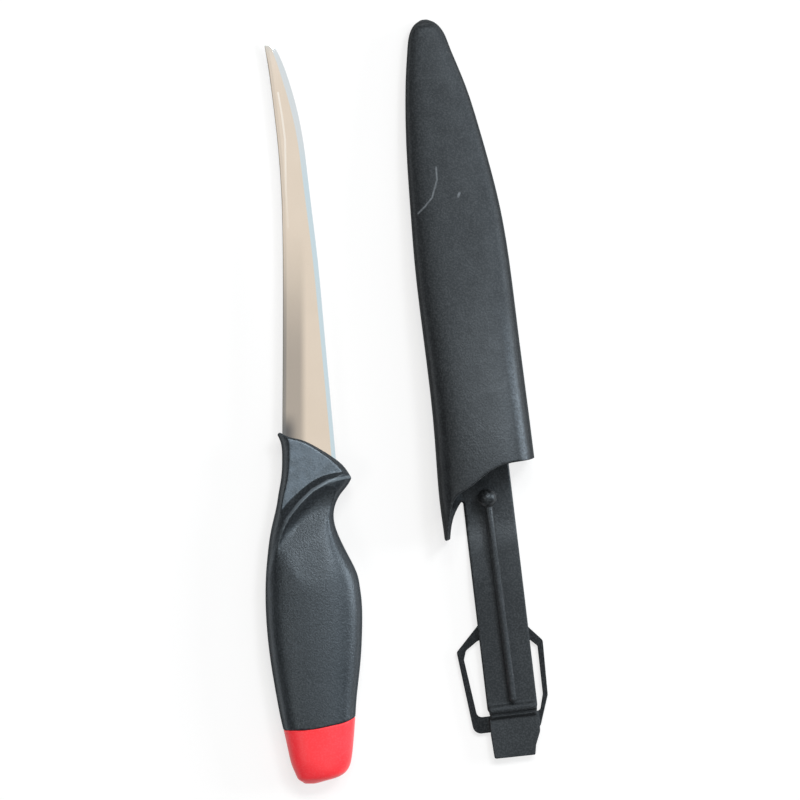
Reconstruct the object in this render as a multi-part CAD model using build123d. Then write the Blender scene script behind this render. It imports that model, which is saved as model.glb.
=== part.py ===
from build123d import *
import os
from math import cos, radians, sin

# Fillet knife with a floating handle, lying on its side beside its belt sheath.
# Units are millimetres. Z is up, the sheath lies along +Y with its tip ahead, and the
# origin is the centre of the footprint on the table.
# Knife frame: X = 0 is the blade's own line, Y = 0 the front corner of the collar,
# Z = 0 the flat of the blade. Sheath frame: Z = 0 the flat back, +Y towards the tip.

overrun = 2.0

# Blade and tang
blade_length = 150.0
blade_width = 19.5
spine_thickness = 1.6
tip_thickness = 0.9
shoulder_thickness_share = 0.66
edge_thickness = 0.15
bevel_width = 2.0
root_depth = 1.0
tang_length = 62.0
tang_root_width = 11.0
tang_end_width = 7.5
tang_offset = -2.6
tang_clearance = 0.06

# Place along the blade, then spine, cutting edge and bevel as shares of their sizes
blade_shares = [
    (-0.093, -0.603, 0.430, 0.75),
    (0.000, -0.602, 0.377, 0.75),
    (0.089, -0.598, 0.313, 0.75),
    (0.200, -0.593, 0.236, 0.80),
    (0.336, -0.590, 0.144, 0.85),
    (0.460, -0.594, 0.049, 0.90),
    (0.583, -0.617, -0.067, 0.95),
    (0.669, -0.656, -0.144, 1.00),
    (0.733, -0.700, -0.210, 1.05),
    (0.780, -0.741, -0.277, 1.10),
    (0.830, -0.787, -0.369, 1.15),
    (0.879, -0.836, -0.482, 1.15),
    (0.917, -0.879, -0.585, 1.05),
    (0.947, -0.921, -0.690, 0.85),
    (0.970, -0.951, -0.785, 0.60),
    (0.987, -0.969, -0.867, 0.35),
    (0.997, -0.962, -0.930, 0.10),
]

# Handle: two moulded shells, a foam core and the butt cap
handle_length = 129.0
palm_width = 36.0
palm_depth = 19.0
collar_depth = 12.8
handle_fullness_share = 0.72
collar_draft = 1.5
ridge_height_share = 0.915
ridge_land = 0.9
scallop_length = 40.0
scallop_depth = 3.1
scallop_rise = 0.8
peg_radius = 2.2
peg_reach = 4.4
peg_clearance = 0.1
peg_along_shares = [0.24, 0.53]
cavity_start = 42.0
cap_wall = 2.0
cap_clearance = 0.1
neck_wall = 1.9
neck_reach = 7.6
core_clearance = 0.3

# Place along the handle from the collar's front, left side, right side and thickness
handle_shares = [
    (-0.031, -0.394, 0.542, 0.88),
    (0.000, -0.372, 0.514, 0.89),
    (0.028, -0.336, 0.489, 0.90),
    (0.062, -0.329, 0.456, 0.91),
    (0.093, -0.331, 0.422, 0.91),
    (0.122, -0.340, 0.385, 0.92),
    (0.150, -0.356, 0.322, 0.92),
    (0.174, -0.371, 0.257, 0.93),
    (0.202, -0.387, 0.215, 0.93),
    (0.233, -0.412, 0.203, 0.94),
    (0.271, -0.443, 0.233, 0.95),
    (0.318, -0.469, 0.308, 0.96),
    (0.364, -0.486, 0.394, 0.98),
    (0.408, -0.497, 0.458, 0.99),
    (0.465, -0.500, 0.489, 1.00),
    (0.535, -0.490, 0.498, 1.00),
    (0.612, -0.464, 0.489, 0.99),
    (0.698, -0.418, 0.461, 0.96),
    (0.787, -0.361, 0.431, 0.91),
    (0.860, -0.300, 0.412, 0.85),
    (0.915, -0.257, 0.393, 0.80),
    (0.946, -0.228, 0.369, 0.75),
    (0.966, -0.197, 0.322, 0.67),
    (0.980, -0.175, 0.239, 0.57),
    (0.990, -0.142, 0.117, 0.41),
    (0.998, -0.103, 0.011, 0.19),
]
solid_butt_share = 0.94

# Front line of the collar: across, along, and how far the face leans back there
collar_front_shares = [
    (-0.440, 0.030, 0.25),
    (-0.385, 0.004, 0.25),
    (-0.355, -0.010, 0.25),
    (-0.320, -0.006, 0.25),
    (-0.270, 0.001, 0.25),
    (-0.147, 0.009, 0.30),
    (0.024, 0.030, 0.45),
    (0.178, 0.056, 0.75),
    (0.322, 0.091, 1.00),
    (0.400, 0.126, 1.00),
    (0.560, 0.200, 1.00),
]
draft_across_share = 0.6
draft_along_share = 0.8

# Step behind the collar: across, its upper line, its lower line (the ridge), and how deep
# and how long the finger scallop is behind the ridge there
step_shares = [
    (0.500, 0.100, 0.110, 1.00, 1.00),
    (0.314, 0.103, 0.119, 1.00, 1.00),
    (0.147, 0.109, 0.129, 1.00, 0.97),
    (-0.011, 0.128, 0.154, 0.95, 0.88),
    (-0.147, 0.157, 0.191, 0.85, 0.76),
    (-0.271, 0.188, 0.236, 0.70, 0.60),
    (-0.347, 0.220, 0.281, 0.52, 0.44),
    (-0.417, 0.264, 0.341, 0.30, 0.28),
    (-0.560, 0.357, 0.465, 0.10, 0.12),
]

# Profile of the scallop behind the ridge, as the control points of its near and far walls:
# along and down from the ridge
scallop_near_shares = [(0.00, 0.00), (0.06, 0.45), (0.13, 1.00), (0.21, 1.00)]
scallop_far_shares = [(0.21, 1.00), (0.27, 1.00), (0.43, 0.30)]

# Where the butt cap meets the shells
cap_line_shares = [
    (-0.560, 0.836),
    (-0.250, 0.844),
    (0.000, 0.840),
    (0.194, 0.829),
    (0.333, 0.819),
    (0.428, 0.805),
    (0.560, 0.781),
]

# Sheath: one moulding with its back tongue and the round bar at the tongue's end
sheath_wall = 1.6
back_flat = 0.7
stowed_collar_reach = 26.4
tip_room = 3.6
stow_side_room = 0.5
stow_depth_room = 1.0
blade_end_share = 0.987
sheath_fullness_share = 0.85
horn_end = 13.2
tongue_thickness = 2.2
tongue_left = 9.25
tongue_right = 9.4
tongue_bend_start = 6.0
tongue_bend_end = 34.0
bar_distance = 77.8
bar_radius = 2.1
bar_left = 8.7
bar_right = 9.1

# Spring finger with its ball, on the face of the tongue
arm_length = 75.0
arm_radius = 1.6
ball_radius = 3.65
arm_lean = 0.58
arm_rise = 1.0
arm_root_across = 0.65
arm_root_gap = 3.6
arm_gap = 0.5
palm_room = 0.3

# Belt clip: ring behind the tongue and thumb tab below the bar, snapped on the bar
ring_width = 32.3
ring_height = 42.0
ring_thickness = 2.2
ring_corner = 1.2
table_gap = 0.4
clip_gap = 0.4
hub_clearance = 0.08
hub_wall = 1.5
hub_open_angle = -45.0
hub_lip_angle = 130.0
hub_side_gap = 0.4
tab_length = 18.2
tab_width = 18.6

# Sizes that follow from the ones above: the sheath fits the knife, and its mouth is deep
# enough for the collar when the palm lies over the spring finger
sheath_length = blade_length + stowed_collar_reach + tip_room
sheath_width = palm_width + stow_side_room
tongue_bottom = table_gap + ring_thickness + clip_gap
tongue_top = tongue_bottom + tongue_thickness
bar_height = tongue_bottom + tongue_thickness / 2
arm_height = tongue_top + arm_gap + arm_radius
stowed_knife_height = arm_height + arm_radius + palm_room + palm_depth / 2
collar_top = stowed_knife_height + collar_depth / 2
sheath_depth = collar_top + stow_depth_room + sheath_wall + back_flat

# Place along the sheath from the mouth, left side, right side and depth
sheath_shares = [
    (-0.111, -0.493, 0.523, 1.00),
    (0.000, -0.489, 0.521, 1.00),
    (0.072, -0.479, 0.518, 0.99),
    (0.167, -0.459, 0.515, 0.94),
    (0.278, -0.454, 0.509, 0.86),
    (0.389, -0.459, 0.506, 0.78),
    (0.500, -0.457, 0.500, 0.71),
    (0.600, -0.438, 0.471, 0.64),
    (0.694, -0.416, 0.412, 0.58),
    (0.778, -0.386, 0.345, 0.52),
    (0.844, -0.351, 0.282, 0.47),
    (0.900, -0.311, 0.208, 0.43),
    (0.942, -0.273, 0.150, 0.40),
    (0.967, -0.244, 0.115, 0.37),
    (0.987, -0.190, 0.052, 0.33),
    (0.994, -0.148, 0.008, 0.25),
    (0.999, -0.107, -0.036, 0.14),
]

# Edge of the mouth on the front wall and on the back wall: across, along
mouth_front_shares = [
    (0.620, 0.074),
    (0.330, 0.071),
    (0.140, 0.066),
    (-0.027, 0.049),
    (-0.192, 0.029),
    (-0.334, 0.013),
    (-0.395, -0.012),
    (-0.444, -0.047),
    (-0.520, -0.110),
]
mouth_back_shares = [
    (0.620, 0.080),
    (0.330, 0.075),
    (0.140, 0.066),
    (-0.027, 0.042),
    (-0.192, 0.017),
    (-0.299, -0.007),
    (-0.362, -0.029),
    (-0.403, -0.056),
    (-0.440, -0.110),
]

# Outline of the clip's ring and of its window: across from the tongue, along from the bar,
# and how round the corner is
ring_low_share = -0.195
ring_shares = [
    (-0.223, 0.805, 1.0),
    (0.167, 0.805, 1.0),
    (0.440, 0.562, 1.2),
    (0.424, 0.079, 1.0),
    (0.297, ring_low_share, 1.0),
    (-0.468, ring_low_share, 2.6),
    (-0.560, 0.543, 0.8),
]
window_low_share = -0.052
window_shares = [
    (-0.303, 0.624, 1.0),
    (0.232, 0.624, 1.0),
    (0.372, 0.519, 1.0),
    (0.368, 0.090, 1.0),
    (0.316, window_low_share, 1.0),
    (-0.409, window_low_share, 1.7),
    (-0.486, 0.471, 0.7),
    (-0.452, 0.548, 0.7),
]

# Outline of the thumb tab: across from the tongue, along from the bar, and how round the
# corner is
tab_corner = 0.8
tab_shares = [
    (-0.473, -0.125, 0.0),
    (-0.489, -0.500, 0.0),
    (-0.468, -0.990, 1.0),
    (0.350, -1.000, 0.5),
    (0.387, -0.800, 2.5),
    (0.500, -0.530, 2.5),
    (0.510, -0.350, 1.0),
    (0.489, -0.125, 0.0),
]

# Places on the table: the sheath from the knife, and the knife's turn from the sheath's line
sheath_across = 61.17
sheath_along = -31.1
knife_turn = -6.75


def closed_section(left, right, along, low, high, full):
    """Closed rounded outline in a plane across the part, from four quarter curves."""
    middle = (left + right) / 2
    centre = (low + high) / 2
    corners = [(right, centre), (middle, high), (left, centre), (middle, low)]
    quarters = []
    for index, (x0, z0) in enumerate(corners):
        x3, z3 = corners[(index + 1) % len(corners)]
        side_first = z0 == centre
        near = (x0, z0 + full * (z3 - z0)) if side_first else (x0 + full * (x3 - x0), z0)
        far = (x3 + full * (x0 - x3), z3) if side_first else (x3, z3 + full * (z0 - z3))
        places = [(x0, z0), near, far, (x3, z3)]
        quarters.append(Bezier(*[(x, along, z) for x, z in places]))
    return Wire(quarters)


def curved_block(low_points, high_points, low_z, high_z, far_along):
    """Solid between a curve and a far straight side, its curved wall leaning if asked."""
    wires = []
    for points, z in ((low_points, low_z), (high_points, high_z)):
        curve = Spline(*[(x, y, z) for x, y in points])
        first_x, first_y = points[0]
        last_x, last_y = points[-1]
        rest = Polyline(
            (last_x, last_y, z),
            (last_x, far_along, z),
            (first_x, far_along, z),
            (first_x, first_y, z),
        )
        wires.append(Wire([curve] + rest.edges()))
    return Solid.make_loft(wires, ruled=True)


def slab(low_along, high_along, size):
    """Block that fills a stretch of a part's length."""
    middle = (low_along + high_along) / 2
    return Pos(0, middle, 0) * Box(size, high_along - low_along, size)


def turned_prism(points, left, right):
    """Prism across the part from an outline of (along, height) points."""
    face = Face(Wire.make_polygon([(left, y, z) for y, z in points], close=True))
    return extrude(face, amount=right - left, dir=(1, 0, 0))


# Handle outline


def handle_form(inset, last_share):
    """Outer shape of the handle, shrunk by inset, from the front to a place along it."""
    sections = []
    for along, left, right, depth in handle_shares:
        if along > last_share:
            continue
        half_depth = depth * palm_depth / 2 - inset
        sections.append(
            closed_section(
                left * palm_width + inset,
                right * palm_width - inset,
                -along * handle_length,
                -half_depth,
                half_depth,
                handle_fullness_share,
            )
        )
    return Solid.make_loft(sections)


def collar_front_points(lean, shift):
    """Front line of the collar, leaned back and shifted along the handle."""
    points = []
    for across, along, draft in collar_front_shares:
        lean_here = lean * draft
        x = across * palm_width - draft_across_share * lean_here
        y = -along * handle_length - draft_along_share * lean_here - shift
        points.append((x, y))
    return points


def step_points(reach_share):
    """Line on the step behind the collar, 0 for its upper line and 1 for its ridge."""
    points = []
    for across, upper, lower, depth, length in step_shares:
        along = upper + (lower - upper) * reach_share
        points.append((across * palm_width, -along * handle_length))
    return points


def cap_line_points():
    """Line where the butt cap meets the shells."""
    return [(x * palm_width, -y * handle_length) for x, y in cap_line_shares]


def neck_end():
    """How far behind the collar's front the shells' neck reaches into the butt cap."""
    return max(along for across, along in cap_line_shares) * handle_length + neck_reach


def peg_places():
    """Middles of the pegs, on the tang's centre line."""
    return [(tang_offset, -share * tang_length) for share in peg_along_shares]


def front_cutter():
    """Everything in front of the collar's leaning front face, upper half."""
    top = palm_depth / 2 + overrun
    slope = collar_draft / (collar_depth / 2)
    low = collar_front_points(-overrun * slope, 0)
    high = collar_front_points(top * slope, 0)
    return curved_block(low, high, -overrun, top, handle_length)


def step_cutter():
    """Everything above the collar's flat face and the sloping step behind it."""
    low = collar_depth / 2
    ridge = ridge_height_share * palm_depth / 2
    top = palm_depth / 2 + overrun
    high_points = step_points((top - low) / (ridge - low))
    return curved_block(step_points(0), high_points, low, top, handle_length)


def scallop_cutter():
    """Trough behind the ridge for the finger: a short fall, then a long rise to the palm."""
    ridge_height = ridge_height_share * palm_depth / 2
    sections = []
    for across, upper, lower, depth, length in step_shares:
        start_along = -lower * handle_length - ridge_land
        start = Vector(across * palm_width, start_along, ridge_height)
        walls = []
        for shares in (scallop_near_shares, scallop_far_shares):
            wall = []
            for along_share, down_share in shares:
                along = along_share * length * scallop_length
                down = down_share * depth * scallop_depth
                wall.append(start - Vector(0, along, down))
            walls.append(wall)
        end = start + Vector(0, -length * scallop_length, scallop_rise)
        near = Bezier(*walls[0])
        far = Bezier(*walls[1], end)
        top = ridge_height + scallop_rise + overrun
        lid = Polyline(end, (end.X, end.Y, top), (start.X, start.Y, top), start)
        sections.append(Wire([near, far] + lid.edges()))
    return Solid.make_loft(sections)


# Knife pieces


def blade_form(grow):
    """Tapered and bevelled blade, with its root inside the collar."""
    sections = []
    for along, spine, edge, bevel in blade_shares:
        reach = min(max(along, 0), 1)
        thickness = spine_thickness + (tip_thickness - spine_thickness) * reach
        back = thickness / 2 + grow
        shoulder = thickness * shoulder_thickness_share / 2 + grow
        front = edge_thickness / 2 + grow
        spine_x = spine * blade_width - grow
        edge_x = edge * blade_width + grow
        shoulder_x = edge_x - bevel * bevel_width
        y = along * blade_length
        outline = [
            (spine_x, y, back),
            (shoulder_x, y, shoulder),
            (edge_x, y, front),
            (edge_x, y, -front),
            (shoulder_x, y, -shoulder),
            (spine_x, y, -back),
        ]
        sections.append(Wire.make_polygon(outline, close=True))
    form = Solid.make_loft(sections)
    root = collar_front_points(0, root_depth + grow)
    return form - curved_block(root, root, -palm_depth, palm_depth, -handle_length)


def tang_form(grow):
    """Flat tang behind the blade's root, rounded at its end."""
    half_root = tang_root_width / 2 + grow
    half_end = tang_end_width / 2 + grow
    half_thick = spine_thickness / 2 + grow
    end = -tang_length + tang_end_width / 2
    outline = [
        (tang_offset - half_root, root_depth, -half_thick),
        (tang_offset - half_end, end, -half_thick),
        (tang_offset + half_end, end, -half_thick),
        (tang_offset + half_root, root_depth, -half_thick),
    ]
    strip = extrude(Face(Wire.make_polygon(outline, close=True)), 2 * half_thick, (0, 0, 1))
    rounding = Pos(tang_offset, end, 0) * Cylinder(half_end, 2 * half_thick)
    shoulder = collar_front_points(0, root_depth / 2 - grow)
    under = curved_block(shoulder, shoulder, -palm_depth, palm_depth, -handle_length)
    return (strip + rounding) & under


def blade():
    """Steel blade and tang in one piece, with the holes for the shells' pegs."""
    steel = blade_form(0) + tang_form(0)
    hole_radius = peg_radius + peg_clearance
    for x, y in peg_places():
        steel -= Pos(x, y, 0) * Cylinder(hole_radius, palm_depth)
    return steel


def upper_shell():
    """Upper half of the handle's moulding, without pegs or bores."""
    cap_line = cap_line_points()
    cap_side = curved_block(cap_line, cap_line, -palm_depth, palm_depth, -2 * handle_length)
    form = split(handle_form(0, solid_butt_share), Plane.XY, Keep.TOP)
    form = form - front_cutter() - step_cutter() - scallop_cutter() - cap_side
    neck_inset = cap_wall + cap_clearance
    neck = split(handle_form(neck_inset, solid_butt_share), Plane.XY, Keep.TOP)
    neck_start = min(along for across, along in cap_line_shares) * handle_length
    form += neck & slab(-neck_end(), -neck_start, 2 * handle_length)
    hollow = handle_form(neck_inset + neck_wall, solid_butt_share)
    form -= hollow & slab(-neck_end() - overrun, -cavity_start, 2 * handle_length)
    return form - blade_form(tang_clearance) - tang_form(tang_clearance)


def handle_shells():
    """Front and back shells: the back one carries the pegs, the front one their bores."""
    upper = upper_shell()
    front = upper
    back = mirror(upper, Plane.XY)
    for x, y in peg_places():
        base = spine_thickness
        peg_length = base + peg_reach
        back += Pos(x, y, (peg_reach - base) / 2) * Cylinder(peg_radius, peg_length)
        bore_reach = peg_reach + peg_clearance
        bore = Cylinder(peg_radius + peg_clearance, 2 * bore_reach)
        front -= Pos(x, y, 0) * bore
    return front, back


def float_core():
    """Closed-cell foam float inside the shells, slotted for the tang's end."""
    inset = cap_wall + cap_clearance + neck_wall + core_clearance
    form = handle_form(inset, solid_butt_share)
    start = cavity_start + core_clearance
    end = neck_end() - core_clearance
    core = form & slab(-end, -start, 2 * handle_length)
    return core - tang_form(tang_clearance + core_clearance)


def butt_cap():
    """Red cap that closes the butt, with a socket for the shells' neck."""
    line = cap_line_points()
    region = curved_block(line, line, -palm_depth, palm_depth, -2 * handle_length)
    form = handle_form(0, 1) & region
    socket = handle_form(cap_wall, solid_butt_share)
    socket_end = neck_end() + core_clearance
    return form - (socket & slab(-socket_end, 0, 2 * handle_length))


# Sheath pieces, in the sheath's own frame


def sheath_form(inset, last_share):
    """Outer shape of the sheath, shrunk by inset, closed towards the tip."""
    sections = []
    for along, left, right, depth in sheath_shares:
        if along > last_share:
            continue
        sections.append(
            closed_section(
                left * sheath_width + inset,
                right * sheath_width - inset,
                along * sheath_length,
                inset - back_flat,
                depth * sheath_depth - inset - back_flat,
                sheath_fullness_share,
            )
        )
    return Solid.make_loft(sections)


def above(height):
    """Large block above a level of the sheath."""
    size = 4 * sheath_length
    return Pos(0, 0, height + size / 2) * Box(size, size, size)


def mouth_cutter():
    """Everything beyond the curved mouth, whose edge leans from front wall to back."""
    front = [(x * sheath_width, y * sheath_length) for x, y in mouth_front_shares]
    back = [(x * sheath_width, y * sheath_length) for x, y in mouth_back_shares]
    return curved_block(back, front, 0, sheath_depth, -sheath_length)


def tongue():
    """Flat tongue from the sheath's back wall, stepped up to clear the clip's ring."""
    inner_end = horn_end + sheath_wall
    top = [
        Line((0, inner_end, sheath_wall), (0, -tongue_bend_start, sheath_wall)),
        Spline(
            (0, -tongue_bend_start, sheath_wall),
            (0, -tongue_bend_end, tongue_top),
            tangents=[(0, -1, 0), (0, -1, 0)],
        ),
        Line((0, -tongue_bend_end, tongue_top), (0, -bar_distance, tongue_top)),
    ]
    end = Line((0, -bar_distance, tongue_top), (0, -bar_distance, tongue_bottom))
    bottom = [
        Line((0, -bar_distance, tongue_bottom), (0, -tongue_bend_end, tongue_bottom)),
        Spline(
            (0, -tongue_bend_end, tongue_bottom),
            (0, -tongue_bend_start, 0),
            tangents=[(0, 1, 0), (0, 1, 0)],
        ),
        Line((0, -tongue_bend_start, 0), (0, inner_end, 0)),
    ]
    start = Line((0, inner_end, 0), (0, inner_end, sheath_wall))
    profile = Face(Wire(top + [end] + bottom + [start]))
    strip = extrude(profile, tongue_left + tongue_right, (1, 0, 0))
    return Pos(-tongue_left, 0, 0) * strip


def cross_bar(radius, left, right):
    """Round bar across the tongue's end, or the bore round it."""
    start = Plane((-left, -bar_distance, bar_height), z_dir=(1, 0, 0))
    return Solid.make_cylinder(radius, left + right, start)


def sheath_body():
    """Sheath moulding: flattened tube, curved mouth with its horn, tongue and bar."""
    size = 4 * sheath_length
    outer = sheath_form(0, 1) & above(0)
    hollow = sheath_form(sheath_wall, blade_end_share) & above(sheath_wall)
    shell = outer - hollow - mouth_cutter() - slab(-size, -horn_end, size)
    return shell + tongue() + cross_bar(bar_radius, bar_left, bar_right)


def arm_root():
    """Centre of the rounded root of the spring finger, where it hinges."""
    return (arm_root_across, -bar_distance + arm_root_gap, arm_height)


def retaining_arm():
    """Round spring finger with a ball at its free end."""
    root = Vector(*arm_root())
    lean = radians(arm_lean)
    rise = radians(arm_rise)
    direction = Vector(-sin(lean) * cos(rise), cos(lean) * cos(rise), sin(rise))
    rod = Solid.make_cylinder(arm_radius, arm_length, Plane(root, z_dir=direction))
    tip = root + direction * arm_length
    ball = Pos(*tip) * Sphere(ball_radius)
    return rod + Pos(*root) * Sphere(arm_radius) + ball


def outline_face(shares, across, along, height, corner):
    """Flat face from an outline of shares, with each corner rounded by its own share."""
    outline = Polygon(*[(x * across, -bar_distance + y * along) for x, y, share in shares], align=None)
    for x, y, share in shares:
        if share > 0:
            place = Vector(x * across, -bar_distance + y * along, 0)
            vertex = min(outline.vertices(), key=lambda v: (Vector(*v) - place).length)
            outline = fillet(vertex, share * corner)
    return Pos(0, 0, height) * outline


def clip_hub():
    """Open hook that snaps round the bar."""
    left = bar_left - hub_side_gap
    right = bar_right - hub_side_gap
    inner = bar_radius + hub_clearance
    outer = inner + hub_wall
    ring = cross_bar(outer, left, right) - cross_bar(inner, left + overrun, right + overrun)
    far = 2 * outer
    opening = [(-bar_distance, bar_height)]
    for angle in (hub_open_angle, 0, hub_lip_angle / 2, hub_lip_angle):
        turn = radians(angle)
        opening.append((-bar_distance + far * cos(turn), bar_height + far * sin(turn)))
    return ring - turned_prism(opening, -left - overrun, right + overrun)


def belt_clip():
    """Belt clip: ring behind the tongue, thumb tab below the bar, and the hub."""
    outer = outline_face(ring_shares, ring_width, ring_height, table_gap, ring_corner)
    window = outline_face(window_shares, ring_width, ring_height, table_gap, ring_corner)
    ring = extrude(outer - window, ring_thickness, (0, 0, 1))
    tab_face = outline_face(tab_shares, tab_width, tab_length, tongue_bottom, tab_corner)
    tab = extrude(tab_face, tongue_thickness, (0, 0, 1))
    inner = bar_radius + hub_clearance
    low_end = -bar_distance + ring_low_share * ring_height
    foot_start = -bar_distance + window_low_share * ring_height
    foot = [
        (foot_start, table_gap),
        (low_end, table_gap),
        (low_end, bar_height),
        (foot_start, bar_height),
    ]
    left = bar_left - hub_side_gap
    right = bar_right - hub_side_gap
    clip = ring + tab + turned_prism(foot, -left, right) + clip_hub()
    return clip - cross_bar(inner, left + overrun, right + overrun)


def write_parts():
    """Places every piece, centres the whole on its footprint and writes the files."""
    knife_place = Pos(0, 0, palm_depth / 2) * Rot(0, 0, knife_turn)
    sheath_place = Pos(sheath_across, sheath_along, 0)
    shell_front, shell_back = handle_shells()
    placed = {
        "blade": knife_place * blade(),
        "handle_shell_front": knife_place * shell_front,
        "handle_shell_back": knife_place * shell_back,
        "float_core": knife_place * float_core(),
        "butt_cap": knife_place * butt_cap(),
        "sheath_body": sheath_place * sheath_body(),
        "retaining_arm": sheath_place * retaining_arm(),
        "belt_clip": sheath_place * belt_clip(),
    }
    whole = Compound(children=[Part(piece.wrapped) for piece in placed.values()])
    middle = whole.bounding_box().center()
    shift = Pos(-middle.X, -middle.Y, 0)
    os.makedirs("parts", exist_ok=True)
    for name, piece in placed.items():
        export_step(shift * piece, f"parts/{name}.step")
    return shift * knife_place, shift * sheath_place


knife_frame, sheath_frame = write_parts()
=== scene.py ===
import math

import bpy
import numpy as np
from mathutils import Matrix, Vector


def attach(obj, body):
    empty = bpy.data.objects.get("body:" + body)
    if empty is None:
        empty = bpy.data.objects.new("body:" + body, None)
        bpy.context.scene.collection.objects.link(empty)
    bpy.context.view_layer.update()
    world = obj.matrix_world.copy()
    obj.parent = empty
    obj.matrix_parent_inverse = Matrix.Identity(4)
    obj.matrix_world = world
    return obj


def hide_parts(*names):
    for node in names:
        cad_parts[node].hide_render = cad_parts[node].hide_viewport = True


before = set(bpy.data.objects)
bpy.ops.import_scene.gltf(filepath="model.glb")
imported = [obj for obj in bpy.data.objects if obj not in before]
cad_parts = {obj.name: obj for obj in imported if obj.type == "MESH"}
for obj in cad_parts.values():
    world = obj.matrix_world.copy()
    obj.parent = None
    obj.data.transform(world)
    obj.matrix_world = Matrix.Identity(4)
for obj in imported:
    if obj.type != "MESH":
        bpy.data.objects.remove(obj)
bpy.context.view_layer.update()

# Fillet knife and its belt sheath, seen from straight above. Metres, in the frame's axes:
# +Z up from the table, +Y along the sheath towards its tip.

# View: the photograph's middle on the table, its turn and its width there, and how far the
# camera is
VIEW_MIDDLE = (0.006107, -0.001911)
VIEW_TURN = math.radians(-6.75)
VIEW_WIDTH = 0.2964
VIEW_LEVEL = 0.0095
CAMERA_HEIGHT = 3.0
SENSOR_WIDTH = 36.0

# Places of the knife and the sheath on the table: their own origins, and the knife's turn, which
# is upright in the photograph
KNIFE_PLACE = (-0.027103, -0.011411, 0.0095)
KNIFE_TURN = VIEW_TURN
SHEATH_PLACE = (0.034067, -0.042511, 0.0)

# Light: soft boxes round the view's own direction. For each, its turn about the vertical from
# +X and its tilt from the vertical in degrees, its side, its watts and its colour
BOX_DISTANCE = 3.0
COOL = (0.93, 0.97, 1.0)
WARM = (1.0, 0.97, 0.92)
SOFT_BOXES = {
    "box_window": (38.0, 48.0, 1.1, 8.0, COOL),
    "box_side": (6.0, 70.0, 1.1, 58.0, COOL),
    "box_right": (44.0, 28.0, 0.6, 33.0, (0.96, 0.98, 1.0)),
    "box_top": (82.0, 27.0, 0.8, 28.0, (1.0, 0.99, 0.97)),
    "box_left": (193.0, 30.0, 0.8, 11.0, WARM),
    "box_low": (283.0, 30.0, 0.8, 8.0, WARM),
}

# Floor: its side, how far it lies below the pieces, and how much of its shadow is taken away
# where it is seen or mirrored
FLOOR_SIZE = 6.0
FLOOR_GAP = 0.0002
FLOOR_WHITE = 0.70

# White backdrop: how high above the horizon it is full and where it ends, as the sine of the
# angle. Patches of the surroundings: direction, where they are full and where they end in
# degrees, and colour
WHITE = (1.0, 1.0, 1.0, 1.0)
BACKDROP_FULL = 0.05
BACKDROP_END = 0.10
SKY_DARK = (0.03, 0.032, 0.035, 1)
SKY_PATCHES = [
    ((0.39, -0.05, 0.92), 14.0, 18.0, (0.80, 0.92, 1.00, 1)),
    ((0.18, 0.17, 0.97), 8.0, 11.0, (0.92, 0.94, 0.98, 1)),
    ((0.0, 0.0, 1.0), 7.0, 10.0, (0.86, 0.80, 0.72, 1)),
]

# Rounded edges: how fine the skin over the CAD faces is, and how often it is smoothed
SOFTENING = 0.5
SOFT_EDGES = {
    "butt_cap": (0.00030, 5),
    "sheath_body": (0.00042, 4),
    "retaining_arm": (0.00022, 3),
    "belt_clip": (0.00026, 4),
}
SHELL_EDGES = (0.00034, 5)

# Scallop that fades into the palm: how often it is smoothed, in how many steps of strength, and
# the spans over which that fades in or out. Three spans are measured behind the ridge, one to the
# left of the blade's line and one away from the flat of the blade, up or down
BLEND_PASSES = 240
BLEND_STEPS = 10
BLEND_FAR = (0.010, 0.016)
BLEND_NEAR = (0.0012, 0.0030)
BLEND_END = (0.040, 0.050)
BLEND_LEFT = (0.006, 0.010)
BLEND_RISE = (0.0010, 0.0035)

# Spine and painted highlight streak along the blade, in the knife's own axes, and scratch and nick in
# the sheath's
SPINE = [
    (-0.0118, -0.0010),
    (-0.0116, 0.0300),
    (-0.0115, 0.0504),
    (-0.0116, 0.0690),
    (-0.0120, 0.0875),
    (-0.0128, 0.1004),
    (-0.0137, 0.1100),
    (-0.0145, 0.1170),
    (-0.0154, 0.1245),
    (-0.0163, 0.1319),
    (-0.0171, 0.1376),
    (-0.0180, 0.1421),
    (-0.0189, 0.1481),
]
HIGHLIGHT_STREAK = [(-0.0133, 0.1271), (-0.0119, 0.1189), (-0.0107, 0.1097), (-0.0104, 0.0911), (-0.0096, 0.0774)]
SCRATCH = [(-0.0046, 0.1244), (-0.0048, 0.1199), (-0.0074, 0.1135), (-0.0104, 0.1105), (-0.0132, 0.1083)]
NICK = [(0.0022, 0.1128), (0.0029, 0.1140)]

# Painted highlight along the sheath's corner beside its mouth, in the sheath's own axes
CORNER = [
    (0.0133, 0.0805),
    (0.0139, 0.0618),
    (0.0143, 0.0431),
    (0.0149, 0.0243),
    (0.0154, 0.0142),
]

# Ridge behind the collar, seen from above in the knife's own axes
RIDGE = [
    (0.0180, -0.0142),
    (0.0113, -0.0154),
    (0.0053, -0.0166),
    (-0.0004, -0.0199),
    (-0.0053, -0.0246),
    (-0.0098, -0.0304),
    (-0.0125, -0.0362),
    (-0.0150, -0.0440),
    (-0.0202, -0.0600),
]

# Lines seen from above: half their width, and the width over which they fade
RIDGE_HIGHLIGHT_LINE = (0.00030, 0.0005)
SCRATCH_LINE = (0.00012, 0.00035)
NICK_LINE = (0.00020, 0.00040)
CORNER_HIGHLIGHT_LINE = (0.0004, 0.0018)
HIGHLIGHT_STREAK_LINE = (0.00012, 0.00045)
SPINE_REFLECTION_LINE = (0.0010, 0.0007)
SPINE_SHADE_LINE = (0.00015, 0.00030)

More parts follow.
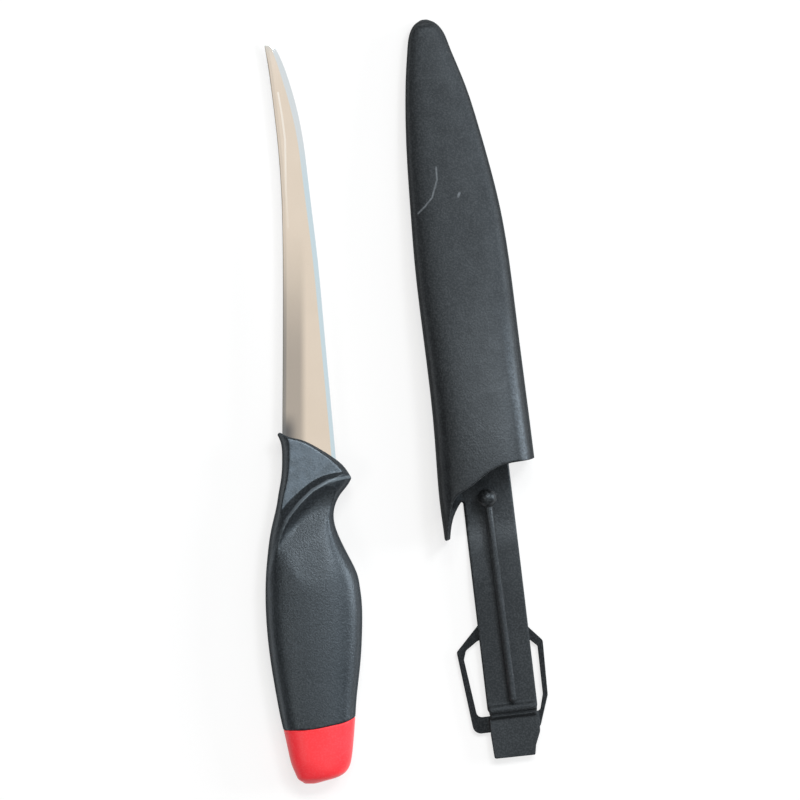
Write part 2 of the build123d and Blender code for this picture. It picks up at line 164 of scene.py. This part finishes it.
# Noise patterns: scale, detail, and the span of the noise that is spread over 0 to 1
CLOUDS = (70.0, 3.0, 0.35, 0.70)
GLOSS = (140.0, 4.0, 0.30, 0.70)
GRAIN_SCALE = 1500.0
GRAIN_DETAIL = 3.0
SPECKS = (GRAIN_SCALE, 1.0, 0.42, 0.68)
RUBBED_PATCHES = (420.0, 3.0, 0.35, 0.65)
COLLAR_MOTTLE = (260.0, 4.0, 0.38, 0.62)
COLLAR_SPECKS = (1400.0, 2.0, 0.35, 0.65)
SCRATCH_BREAKS = (900.0, 2.0, 0.30, 0.60)
CORNER_HIGHLIGHT_BREAKS = (1100.0, 2.0, 0.35, 0.65)
CAP_CLOUDS = (90.0, 3.0, 0.30, 0.70)
CAP_SPECKS = (1500.0, 1.0, 0.45, 0.70)
CAP_GLOSS = (180.0, 4.0, 0.30, 0.70)
CAP_PEEL = (1200.0, 2.0)
BLADE_CLOUDS = (45.0, 3.0, 0.30, 0.70)

# Faces by how far they look up, as the height of their normal: from, to
SIDES = (0.65, 0.25)
FLAT_FACES = (0.90, 0.985)
UPPER_FACES = (0.5, 0.8)
CORNER_HIGHLIGHT_FACES = (0.25, 0.45)
BEVEL_FACES = (0.9990, 0.9965)

# Black plastics: ground, depth of the grain and span of the roughness. How much paler the
# clouds and specks are than the ground, how much duller the sides are, and how rubbed edges look
HANDLE_BLACK = ((0.006, 0.007, 0.008), 0.00010, (0.40, 0.46))
SHEATH_BLACK = ((0.006, 0.0065, 0.007), 0.00007, (0.50, 0.58))
CLOUD_PALER = 1.15
SPECK_PALER = 4.0
SIDE_ROUGH = 0.60
RUBBED_EDGES = (0.57, 0.66)
RUBBED_SHARE = 0.30
RUBBED_TONE = (0.12, 0.125, 0.13)

# Handle: edge of the collar's stippled face, a curve through slope and bend with the span over which the
# face starts, its tones, made pale and bluish to paint the sheen of the face, and the painted highlight
# along the ridge, which fades to the left
COLLAR_SLOPE = 0.62
COLLAR_BEND = 22.0
COLLAR_START = (-0.0178, -0.0168)
STIPPLE_SHEEN_TONES = ((0.045, 0.060, 0.074), (0.082, 0.108, 0.134))
STIPPLE_SHEEN_SPECK = (0.150, 0.175, 0.200)
STIPPLE_SHEEN_SHARE = 0.35
RIDGE_HIGHLIGHT_ACROSS = (-0.0130, -0.0020, 0.15, 0.90)
RIDGE_HIGHLIGHT_TONE = (0.130, 0.155, 0.175)
HANDLE_SPECULAR = 0.80
HANDLE_TINT = (0.76, 0.89, 1.0, 1.0)

# Sheath: scratches, a painted highlight along one corner, and what is added to its roughness along it
# and on the ring
SCRATCH_LEAST = 0.4
SCRATCH_SHARE = 0.55
SCRATCH_TONE = (0.22, 0.24, 0.26)
CORNER_HIGHLIGHT_LEAST = 0.25
CORNER_HIGHLIGHT_ALONG = (0.035, 0.078, 0.55, 0.0)
CORNER_HIGHLIGHT_TONE = (0.125, 0.150, 0.175)
HANDLED_ALONG = (0.010, 0.120, -0.11, 0.05)
TONGUE_ALONG = (-0.022, -0.008, 0.20, 0.0)
RING_ASIDE = (0.0094, 0.0100)
RING_ALONG = (-0.034, -0.030, 1.0, 0.0)
RING_ROUGH = 0.30
SHEATH_SPECULAR = 0.50
SHEATH_TINT = (0.80, 0.91, 1.0, 1.0)

# Red cap
CAP_TONES = ((1.0, 0.036, 0.048), (1.0, 0.046, 0.060))
CAP_SPECK = (1.0, 0.090, 0.110)
CAP_SPECK_SHARE = 0.4
CAP_ROUGH = (0.36, 0.42)
CAP_PEEL_DEPTH = 0.00001
CAP_SPECULAR = 0.35

# Blade: its tones, and where they start and end along it or across it, with their share there. The
# steel's warm tones in part paint a warm reflection from above; the others are painted reflections,
# painted shade and a painted highlight
STEEL_TONES = ((0.83, 0.762, 0.688), (0.87, 0.802, 0.730))
DARK_REFLECTION_TONE = (0.38, 0.365, 0.35)
DARK_REFLECTION_ALONG = (0.026, 0.080, 0.75, 0.0)
DARK_REFLECTION_ACROSS = (-0.0056, -0.0024, 1.0, 0.0)
SHADE_TONE = (0.12, 0.13, 0.15)
SHADE_ALONG = (0.0015, 0.0100, 0.85, 0.0)
SHADE_ACROSS = (-0.0100, -0.0050, 1.0, 0.0)
HIGHLIGHT_STREAK_TONE = (1.0, 0.99, 0.97)
HIGHLIGHT_STREAK_ALONG = (0.080, 0.104, 0.25, 0.90)
SPINE_REFLECTION_TONE = (0.22, 0.24, 0.26)
SPINE_REFLECTION_ALONG = (0.020, 0.075, 0.60, 0.15)
SPINE_SHADE_TONE = (0.10, 0.10, 0.11)
SPINE_SHADE_SHARE = 0.6
BEVEL_REFLECTION_TONE = (0.72, 0.75, 0.74)
BEVEL_SMOOTHER = 0.08
TIP_ROUGHER = (0.1440, 0.1462, 0.0, 0.55)
GRIND_SCALES = (900.0, 9000.0, 900.0)
GRIND_DETAIL = 4.0
GRIND_SPAN = (0.30, 0.70)
GRIND_ROUGH = (0.12, 0.16)
GRIND_DEPTH = 0.000001

# Foam of the float
CELL_SCALE = 900.0
CELL_SPAN = (0.0, 0.8)
CELL_DEPTH = 0.0002
FOAM_TONES = ((0.70, 0.68, 0.62), (0.84, 0.82, 0.76))
FOAM_ROUGH = 0.9


def add_node(tree, kind, **settings):
    made = tree.nodes.new(kind)
    for key, value in settings.items():
        setattr(made, key, value)
    return made


def map_range(tree, value, low, high, out_low=0.0, out_high=1.0, smooth=False):
    """Maps a value from one span to another, and clamps it there."""
    mapped = add_node(tree, "ShaderNodeMapRange")
    if smooth:
        mapped.interpolation_type = "SMOOTHSTEP"
    tree.links.new(value, mapped.inputs["Value"])
    mapped.inputs["From Min"].default_value = low
    mapped.inputs["From Max"].default_value = high
    mapped.inputs["To Min"].default_value = out_low
    mapped.inputs["To Max"].default_value = out_high
    return mapped.outputs["Result"]


def paler(colour, times):
    return tuple(times * part for part in colour)


class Shader:
    """A material whose nodes are added and linked by short calls."""

    def __init__(self, name):
        self.material = bpy.data.materials.new(name)
        self.material.use_nodes = True
        self.tree = self.material.node_tree
        self.tree.nodes.clear()
        self.output = self.node("ShaderNodeOutputMaterial")
        self.surface = self.node("ShaderNodeBsdfPrincipled")
        self.link(self.surface.outputs[0], self.output.inputs["Surface"])
        self.place = self.node("ShaderNodeTexCoord").outputs["Object"]

    def look_from(self, origin, turn=0.0):
        """Takes places from a piece's own origin and axes from here on."""
        mapping = self.node("ShaderNodeMapping", vector_type="TEXTURE")
        self.link(self.place, mapping.inputs["Vector"])
        mapping.inputs["Location"].default_value = origin
        mapping.inputs["Rotation"].default_value = (0, 0, turn)
        self.place = mapping.outputs["Vector"]

    def node(self, kind, **settings):
        return add_node(self.tree, kind, **settings)

    def link(self, source, target):
        self.tree.links.new(source, target)

    def put(self, target, value):
        """Sets a socket to a value, or links it to another socket."""
        if isinstance(value, bpy.types.NodeSocket):
            self.link(value, target)
        else:
            target.default_value = value

    def stretched(self, scales):
        """Object coordinates scaled apart along the three axes."""
        mapping = self.node("ShaderNodeMapping")
        self.link(self.place, mapping.inputs["Vector"])
        mapping.inputs["Scale"].default_value = scales
        return mapping.outputs["Vector"]

    def noise(self, scale, detail=2.0, vector=None):
        texture = self.node("ShaderNodeTexNoise")
        self.link(vector or self.place, texture.inputs["Vector"])
        texture.inputs["Scale"].default_value = scale
        texture.inputs["Detail"].default_value = detail
        return texture.outputs["Fac"]

    def spread(self, value, low, high, out_low=0.0, out_high=1.0, smooth=False):
        return map_range(self.tree, value, low, high, out_low, out_high, smooth)

    def patches(self, pattern, out_low=0.0, out_high=1.0):
        """One of the noise patterns, spread from one value to another."""
        scale, detail, low, high = pattern
        return self.spread(self.noise(scale, detail), low, high, out_low, out_high)

    def math(self, operation, first, second=0.0):
        made = self.node("ShaderNodeMath", operation=operation)
        self.put(made.inputs[0], first)
        self.put(made.inputs[1], second)
        return made.outputs[0]

    def plus(self, first, second):
        return self.math("ADD", first, second)

    def times(self, first, *others):
        for other in others:
            first = self.math("MULTIPLY", first, other)
        return first

    def mix(self, factor, first, second):
        made = self.node("ShaderNodeMix", data_type="RGBA")
        self.put(made.inputs["Factor"], factor)
        self.put(made.inputs["A"], first if isinstance(first, bpy.types.NodeSocket) else (*first, 1))
        self.put(made.inputs["B"], second if isinstance(second, bpy.types.NodeSocket) else (*second, 1))
        return made.outputs["Result"]

    def bump(self, height, distance):
        made = self.node("ShaderNodeBump")
        self.link(height, made.inputs["Height"])
        made.inputs["Distance"].default_value = distance
        made.inputs["Strength"].default_value = 1.0
        return made.outputs["Normal"]

    def axis(self, name):
        """One of the three object coordinates."""
        split = self.node("ShaderNodeSeparateXYZ")
        self.link(self.place, split.inputs[0])
        return split.outputs[name]

    def ramp(self, name, low, high, out_low, out_high):
        """A smooth ramp along one of the three axes."""
        return self.spread(self.axis(name), low, high, out_low, out_high, True)

    def line(self, points, half_width, soft):
        """How near a point is to a line seen from above: 1 on it and 0 away from it."""
        flat = self.node("ShaderNodeVectorMath", operation="MULTIPLY")
        self.link(self.place, flat.inputs[0])
        flat.inputs[1].default_value = (1, 1, 0)
        nearest = None
        for (x0, y0), (x1, y1) in zip(points, points[1:]):
            reach = math.hypot(x1 - x0, y1 - y0)
            way = ((x1 - x0) / reach, (y1 - y0) / reach, 0)
            from_start = self.node("ShaderNodeVectorMath", operation="SUBTRACT")
            self.link(flat.outputs[0], from_start.inputs[0])
            from_start.inputs[1].default_value = (x0, y0, 0)
            along = self.node("ShaderNodeVectorMath", operation="DOT_PRODUCT")
            self.link(from_start.outputs[0], along.inputs[0])
            along.inputs[1].default_value = way
            held = self.node("ShaderNodeClamp")
            self.link(along.outputs["Value"], held.inputs["Value"])
            held.inputs["Max"].default_value = reach
            foot = self.node("ShaderNodeVectorMath", operation="SCALE")
            foot.inputs[0].default_value = way
            self.link(held.outputs[0], foot.inputs["Scale"])
            gap = self.node("ShaderNodeVectorMath", operation="DISTANCE")
            self.link(from_start.outputs[0], gap.inputs[0])
            self.link(foot.outputs[0], gap.inputs[1])
            far = gap.outputs["Value"]
            nearest = far if nearest is None else self.math("MINIMUM", nearest, far)
        return self.spread(nearest, half_width, half_width + soft, 1.0, 0.0, True)

    def facing_up(self, low, high, full=1.0):
        """How far a face looks up, from 0 at one height of its normal to full at another."""
        split = self.node("ShaderNodeSeparateXYZ")
        self.link(self.node("ShaderNodeNewGeometry").outputs["Normal"], split.inputs[0])
        height = self.math("ABSOLUTE", split.outputs["Z"])
        return self.spread(height, low, high, 0.0, full, True)

    def edges(self, low, high):
        """How far a point stands out on an edge."""
        pointiness = self.node("ShaderNodeNewGeometry").outputs["Pointiness"]
        return self.spread(pointiness, low, high)

    def set(self, **sockets):
        for name, value in sockets.items():
            self.put(self.surface.inputs[name.replace("_", " ")], value)


def black_plastic(shader, ground, grain_depth, rough_span):
    """Tone and roughness of moulded black plastic: specks, rubbed edges, uneven gloss, grain."""
    tone = shader.mix(shader.patches(CLOUDS), ground, paler(ground, CLOUD_PALER))
    tone = shader.mix(shader.patches(SPECKS), tone, paler(ground, SPECK_PALER))
    wear_and_highlight = shader.times(shader.edges(*RUBBED_EDGES), shader.patches(RUBBED_PATCHES), RUBBED_SHARE)
    tone = shader.mix(wear_and_highlight, tone, RUBBED_TONE)
    rough = shader.patches(GLOSS, *rough_span)
    rough = shader.plus(rough, shader.facing_up(*SIDES, SIDE_ROUGH))
    grain = shader.noise(GRAIN_SCALE, GRAIN_DETAIL)
    shader.set(Normal=shader.bump(grain, grain_depth))
    return tone, rough


def collar_face(shader):
    """1 on the flat face of the collar, whose lower edge curves to the left."""
    across = shader.axis("X")
    bend = shader.times(across, across, COLLAR_BEND)
    edge = shader.math("SUBTRACT", shader.times(across, COLLAR_SLOPE), bend)
    ahead = shader.math("SUBTRACT", shader.axis("Y"), edge)
    return shader.times(shader.spread(ahead, *COLLAR_START), shader.facing_up(*FLAT_FACES))


def handle_plastic():
    """Handle: spark-textured, with a stippled face on the collar, paler to paint its sheen, and a
    painted highlight along the ridge.
    """
    shader = Shader("handle_plastic")
    shader.look_from(KNIFE_PLACE, KNIFE_TURN)
    tone, rough = black_plastic(shader, *HANDLE_BLACK)
    # Stippled face of the collar: real texture, in pale bluish tones that paint the sheen where it looks
    # up
    stipple_and_sheen = shader.mix(shader.patches(COLLAR_MOTTLE), *STIPPLE_SHEEN_TONES)
    specks = shader.times(shader.patches(COLLAR_SPECKS), STIPPLE_SHEEN_SHARE)
    stipple_and_sheen = shader.mix(specks, stipple_and_sheen, STIPPLE_SHEEN_SPECK)
    tone = shader.mix(collar_face(shader), tone, stipple_and_sheen)
    # Painted highlight along the ridge behind the collar, fading to the left
    wear_and_highlight = shader.times(shader.line(RIDGE, *RIDGE_HIGHLIGHT_LINE), shader.ramp("X", *RIDGE_HIGHLIGHT_ACROSS))
    tone = shader.mix(wear_and_highlight, tone, RIDGE_HIGHLIGHT_TONE)
    shader.set(Base_Color=tone, Roughness=rough)
    shader.set(Specular_IOR_Level=HANDLE_SPECULAR, Specular_Tint=HANDLE_TINT)
    return shader.material


def sheath_plastic():
    """Sheath: satin black, scratched near its tip, with a painted highlight along one corner, duller on
    tongue and ring.
    """
    shader = Shader("sheath_plastic")
    shader.look_from(SHEATH_PLACE)
    tone, rough = black_plastic(shader, *SHEATH_BLACK)
    scratches = shader.math(
        "MAXIMUM", shader.line(SCRATCH, *SCRATCH_LINE), shader.line(NICK, *NICK_LINE)
    )
    broken = shader.patches(SCRATCH_BREAKS, SCRATCH_LEAST)
    scratches = shader.times(scratches, broken, shader.facing_up(*UPPER_FACES), SCRATCH_SHARE)
    tone = shader.mix(scratches, tone, SCRATCH_TONE)
    # Pale strip along the right corner near the mouth: a painted highlight, broken into specks
    corner_highlight = shader.times(shader.line(CORNER, *CORNER_HIGHLIGHT_LINE), shader.facing_up(*CORNER_HIGHLIGHT_FACES))
    broken = shader.patches(CORNER_HIGHLIGHT_BREAKS, CORNER_HIGHLIGHT_LEAST)
    corner_highlight = shader.times(corner_highlight, broken, shader.ramp("Y", *CORNER_HIGHLIGHT_ALONG))
    tone = shader.mix(corner_highlight, tone, CORNER_HIGHLIGHT_TONE)
    rough = shader.plus(rough, shader.ramp("Y", *HANDLED_ALONG))
    rough = shader.plus(rough, shader.ramp("Y", *TONGUE_ALONG))
    aside = shader.spread(shader.math("ABSOLUTE", shader.axis("X")), *RING_ASIDE)
    ring = shader.times(aside, shader.spread(shader.axis("Y"), *RING_ALONG), RING_ROUGH)
    rough = shader.plus(rough, ring)
    shader.set(Base_Color=tone, Roughness=rough)
    shader.set(Specular_IOR_Level=SHEATH_SPECULAR, Specular_Tint=SHEATH_TINT)
    return shader.material


def red_plastic():
    """Smooth semi-gloss red of the butt cap, with fine specks and a slight orange peel."""
    shader = Shader("red_cap_plastic")
    shader.look_from(KNIFE_PLACE, KNIFE_TURN)
    tone = shader.mix(shader.patches(CAP_CLOUDS), *CAP_TONES)
    specks = shader.times(shader.patches(CAP_SPECKS), CAP_SPECK_SHARE)
    tone = shader.mix(specks, tone, CAP_SPECK)
    peel = shader.bump(shader.noise(*CAP_PEEL), CAP_PEEL_DEPTH)
    shader.set(Base_Color=tone, Roughness=shader.patches(CAP_GLOSS, *CAP_ROUGH), Normal=peel)
    shader.set(Specular_IOR_Level=CAP_SPECULAR)
    return shader.material


def blade_steel():
    """Satin steel, ground across the blade, with painted dark reflections towards the collar and along
    the spine, painted shade by the collar and along the spine's edge, a painted highlight streak, and a
    bevel tinted to paint its cool reflection.
    """
    shader = Shader("blade_steel")
    shader.look_from(KNIFE_PLACE, KNIFE_TURN)
    tone = shader.mix(shader.patches(BLADE_CLOUDS), *STEEL_TONES)
    # Painted dark reflection on the lower left of the blade, towards the collar
    dark_reflection = shader.times(shader.ramp("Y", *DARK_REFLECTION_ALONG), shader.ramp("X", *DARK_REFLECTION_ACROSS))
    tone = shader.mix(dark_reflection, tone, DARK_REFLECTION_TONE)
    shade = shader.times(shader.ramp("Y", *SHADE_ALONG), shader.ramp("X", *SHADE_ACROSS))
    tone = shader.mix(shade, tone, SHADE_TONE)
    # Painted highlight: a near-white streak along the blade, fading towards the collar
    highlight_streak = shader.times(shader.line(HIGHLIGHT_STREAK, *HIGHLIGHT_STREAK_LINE), shader.ramp("Y", *HIGHLIGHT_STREAK_ALONG))
    tone = shader.mix(highlight_streak, tone, HIGHLIGHT_STREAK_TONE)
    # Painted dark reflection along the spine, strongest towards the collar
    spine_reflection = shader.times(shader.line(SPINE, *SPINE_REFLECTION_LINE), shader.ramp("Y", *SPINE_REFLECTION_ALONG))
    tone = shader.mix(spine_reflection, tone, SPINE_REFLECTION_TONE)
    # Painted shade along the spine's edge
    spine_shade = shader.times(shader.line(SPINE, *SPINE_SHADE_LINE), SPINE_SHADE_SHARE)
    tone = shader.mix(spine_shade, tone, SPINE_SHADE_TONE)
    # The bevel's steel, tinted cool to paint the bluish reflection it catches
    bevel = shader.facing_up(*BEVEL_FACES)
    tone = shader.mix(bevel, tone, BEVEL_REFLECTION_TONE)
    grind = shader.noise(1.0, GRIND_DETAIL, shader.stretched(GRIND_SCALES))
    rough = shader.spread(grind, *GRIND_SPAN, *GRIND_ROUGH)
    rough = shader.math("SUBTRACT", rough, shader.times(bevel, BEVEL_SMOOTHER))
    rough = shader.plus(rough, shader.ramp("Y", *TIP_ROUGHER))
    shader.set(Base_Color=tone, Roughness=rough, Normal=shader.bump(grind, GRIND_DEPTH))
    shader.set(Metallic=1.0)
    return shader.material


def foam():
    """Closed-cell foam of the float, inside the handle."""
    shader = Shader("float_foam")
    cells = shader.node("ShaderNodeTexVoronoi")
    shader.link(shader.place, cells.inputs["Vector"])
    cells.inputs["Scale"].default_value = CELL_SCALE
    cell = cells.outputs["Distance"]
    tone = shader.mix(shader.spread(cell, *CELL_SPAN), *FOAM_TONES)
    shader.set(Base_Color=tone, Roughness=FOAM_ROUGH, Normal=shader.bump(cell, CELL_DEPTH))
    return shader.material


def add_object(name, data):
    made = bpy.data.objects.new(name, data)
    bpy.context.scene.collection.objects.link(made)
    return made


def add_modifier(piece, name, kind, **settings):
    made = piece.modifiers.new(name, kind)
    for key, value in settings.items():
        setattr(made, key, value)


def soften(piece, size, passes):
    """Rounds a piece's edges as a moulding's are."""
    add_modifier(piece, "skin", "REMESH", mode="VOXEL", voxel_size=size, use_smooth_shade=True)
    add_modifier(piece, "soften", "SMOOTH", factor=SOFTENING, iterations=passes)


def dress(node, material):
    """Gives a CAD node its material, and rounded edges where it is a moulding."""
    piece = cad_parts[node]
    piece.data.materials.clear()
    piece.data.materials.append(material)
    if node in SOFT_EDGES:
        soften(piece, *SOFT_EDGES[node])


def behind_ridge(points):
    """How far each point lies behind the ridge, in the knife's axes: negative ahead of it."""
    best = np.full(len(points), np.inf)
    signed = np.zeros(len(points))
    for (x0, y0), (x1, y1) in zip(RIDGE, RIDGE[1:]):
        start = np.array((x0, y0))
        way = np.array((x1 - x0, y1 - y0))
        reach = np.hypot(*way)
        way = way / reach
        offset = points - start
        along = np.clip(offset @ way, 0, reach)
        gap = np.linalg.norm(offset - along[:, None] * way, axis=1)
        side = offset[:, 1] * way[0] - offset[:, 0] * way[1]
        nearer = gap < best
        best = np.where(nearer, gap, best)
        signed = np.where(nearer, np.where(side > 0, gap, -gap), signed)
    return signed


def eased(values, low, high):
    """0 up to the low value, 1 from the high one on, and a smooth step between them."""
    share = np.clip((values - low) / (high - low), 0, 1)
    return share * share * (3 - 2 * share)


def moulded_copy(node, material):
    """A CAD node's mesh with rounded edges, as an object of its own."""
    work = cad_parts[node].copy()
    work.data = work.data.copy()
    bpy.context.scene.collection.objects.link(work)
    soften(work, *SHELL_EDGES)
    bpy.context.view_layer.update()
    graph = bpy.context.evaluated_depsgraph_get()
    mesh = bpy.data.meshes.new_from_object(work.evaluated_get(graph))
    bpy.data.objects.remove(work)
    mesh.name = node + "_moulded"
    mesh.materials.clear()
    mesh.materials.append(material)
    return add_object(node + "_moulded", mesh)


def blend_share(mesh, upward):
    """How strongly each vertex is blended: round the scallop's far and left ends, on one side."""
    places = np.zeros(len(mesh.vertices) * 3)
    mesh.vertices.foreach_get("co", places)
    places = places.reshape(-1, 3) - np.array(KNIFE_PLACE)
    cosine, sine = math.cos(KNIFE_TURN), math.sin(KNIFE_TURN)
    flat = places[:, :2] @ np.array([[cosine, -sine], [sine, cosine]])
    gap = behind_ridge(flat)
    before_end = 1 - eased(gap, *BLEND_END)
    far_end = eased(gap, *BLEND_FAR) * before_end
    left_end = eased(-flat[:, 0], *BLEND_LEFT) * eased(gap, *BLEND_NEAR) * before_end
    return np.maximum(far_end, left_end) * eased(upward * places[:, 2], *BLEND_RISE)


def soft_shell(node, upward, material):
    """Stand-in for a handle shell: rounded edges, and a scallop that fades into the palm."""
    piece = moulded_copy(node, material)
    steps = np.round(blend_share(piece.data, upward) * BLEND_STEPS)
    group = piece.vertex_groups.new(name="blend")
    for step in range(1, BLEND_STEPS + 1):
        chosen = np.nonzero(steps == step)[0]
        group.add(chosen.tolist(), step / BLEND_STEPS, "REPLACE")
    add_modifier(
        piece, "blend", "SMOOTH", factor=SOFTENING, iterations=BLEND_PASSES, vertex_group="blend"
    )
    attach(piece, "knife")
    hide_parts(node)


handle_black = handle_plastic()
sheath_black = sheath_plastic()
soft_shell("handle_shell_front", 1, handle_black)
soft_shell("handle_shell_back", -1, handle_black)
dress("butt_cap", red_plastic())
dress("blade", blade_steel())
dress("float_core", foam())
dress("sheath_body", sheath_black)
dress("retaining_arm", sheath_black)
dress("belt_clip", sheath_black)


def seen_rays(tree):
    """1 for the rays that show a background: those of the camera, of mirrors and of glass."""
    rays = add_node(tree, "ShaderNodeLightPath")
    seen = rays.outputs["Is Camera Ray"]
    for kind in ("Is Glossy Ray", "Is Transmission Ray"):
        either = add_node(tree, "ShaderNodeMath", operation="MAXIMUM")
        tree.links.new(seen, either.inputs[0])
        tree.links.new(rays.outputs[kind], either.inputs[1])
        seen = either.outputs[0]
    return seen


def floor():
    """Plain white floor, whose shadows are softened where it is seen or mirrored."""
    half = FLOOR_SIZE / 2
    mesh = bpy.data.meshes.new("floor")
    signs = [(-1, -1), (1, -1), (1, 1), (-1, 1)]
    corners = [(across * half, along * half, -FLOOR_GAP) for across, along in signs]
    mesh.from_pydata(corners, [], [(0, 1, 2, 3)])
    shader = Shader("pale_floor")
    shader.set(Base_Color=WHITE, Roughness=1.0, Specular_IOR_Level=0.0)
    white = shader.node("ShaderNodeEmission")
    blend = shader.node("ShaderNodeMixShader")
    shader.link(shader.times(seen_rays(shader.tree), FLOOR_WHITE), blend.inputs[0])
    shader.link(shader.surface.outputs[0], blend.inputs[1])
    shader.link(white.outputs[0], blend.inputs[2])
    shader.link(blend.outputs[0], shader.output.inputs["Surface"])
    mesh.materials.append(shader.material)
    add_object("floor", mesh)


def soft_box(name, turn, tilt, size, watts, colour):
    """Square soft box, turned about the vertical from +X and tilted from it, in degrees."""
    lamp = bpy.data.lights.new(name, "AREA")
    lamp.shape = "SQUARE"
    lamp.size = size
    lamp.energy = watts
    lamp.color = colour
    piece = add_object(name, lamp)
    turn, tilt = math.radians(turn), math.radians(tilt)
    flat = math.sin(tilt)
    away = Vector((flat * math.cos(turn), flat * math.sin(turn), math.cos(tilt)))
    piece.location = Vector((*VIEW_MIDDLE, 0)) + away * BOX_DISTANCE
    piece.rotation_euler = (-away).to_track_quat("-Z", "Y").to_euler()


def surroundings(tree, direction):
    """Colour of the surroundings in a direction: dim, with each patch laid over those before."""
    tone = SKY_DARK
    for way, near, far, colour in SKY_PATCHES:
        toward = add_node(tree, "ShaderNodeVectorMath", operation="DOT_PRODUCT")
        tree.links.new(direction, toward.inputs[0])
        toward.inputs[1].default_value = Vector(way).normalized()
        span = math.cos(math.radians(far)), math.cos(math.radians(near))
        inside = map_range(tree, toward.outputs["Value"], *span, smooth=True)
        mixed = add_node(tree, "ShaderNodeMix", data_type="RGBA")
        tree.links.new(inside, mixed.inputs["Factor"])
        if isinstance(tone, tuple):
            mixed.inputs["A"].default_value = tone
        else:
            tree.links.new(tone, mixed.inputs["A"])
        mixed.inputs["B"].default_value = colour
        tone = mixed.outputs["Result"]
    return tone


def sky():
    """World: the surroundings, and in front of them a white backdrop round the horizon."""
    world = bpy.data.worlds.new("studio")
    bpy.context.scene.world = world
    world.use_nodes = True
    tree = world.node_tree
    tree.nodes.clear()
    direction = add_node(tree, "ShaderNodeTexCoord").outputs["Generated"]
    lit = add_node(tree, "ShaderNodeBackground")
    tree.links.new(surroundings(tree, direction), lit.inputs["Color"])
    backdrop = add_node(tree, "ShaderNodeBackground")
    backdrop.inputs["Color"].default_value = WHITE
    height = add_node(tree, "ShaderNodeSeparateXYZ")
    tree.links.new(direction, height.inputs[0])
    low_band = map_range(tree, height.outputs["Z"], BACKDROP_FULL, BACKDROP_END, 1.0, 0.0, True)
    shown = add_node(tree, "ShaderNodeMath", operation="MULTIPLY")
    tree.links.new(seen_rays(tree), shown.inputs[0])
    tree.links.new(low_band, shown.inputs[1])
    choose = add_node(tree, "ShaderNodeMixShader")
    tree.links.new(shown.outputs[0], choose.inputs[0])
    tree.links.new(lit.outputs[0], choose.inputs[1])
    tree.links.new(backdrop.outputs[0], choose.inputs[2])
    output = add_node(tree, "ShaderNodeOutputWorld")
    tree.links.new(choose.outputs[0], output.inputs["Surface"])


def camera():
    """Camera straight above the table, at the photograph's framing."""
    lens = bpy.data.cameras.new("camera")
    lens.sensor_width = SENSOR_WIDTH
    lens.lens = SENSOR_WIDTH * (CAMERA_HEIGHT - VIEW_LEVEL) / VIEW_WIDTH
    lens.clip_end = 4 * CAMERA_HEIGHT
    piece = add_object("camera", lens)
    piece.location = (*VIEW_MIDDLE, CAMERA_HEIGHT)
    piece.rotation_euler = (0, 0, VIEW_TURN)
    bpy.context.scene.camera = piece


floor()
for box_name, box in SOFT_BOXES.items():
    soft_box(box_name, *box)
sky()
camera()
bpy.context.scene.view_settings.view_transform = "Standard"
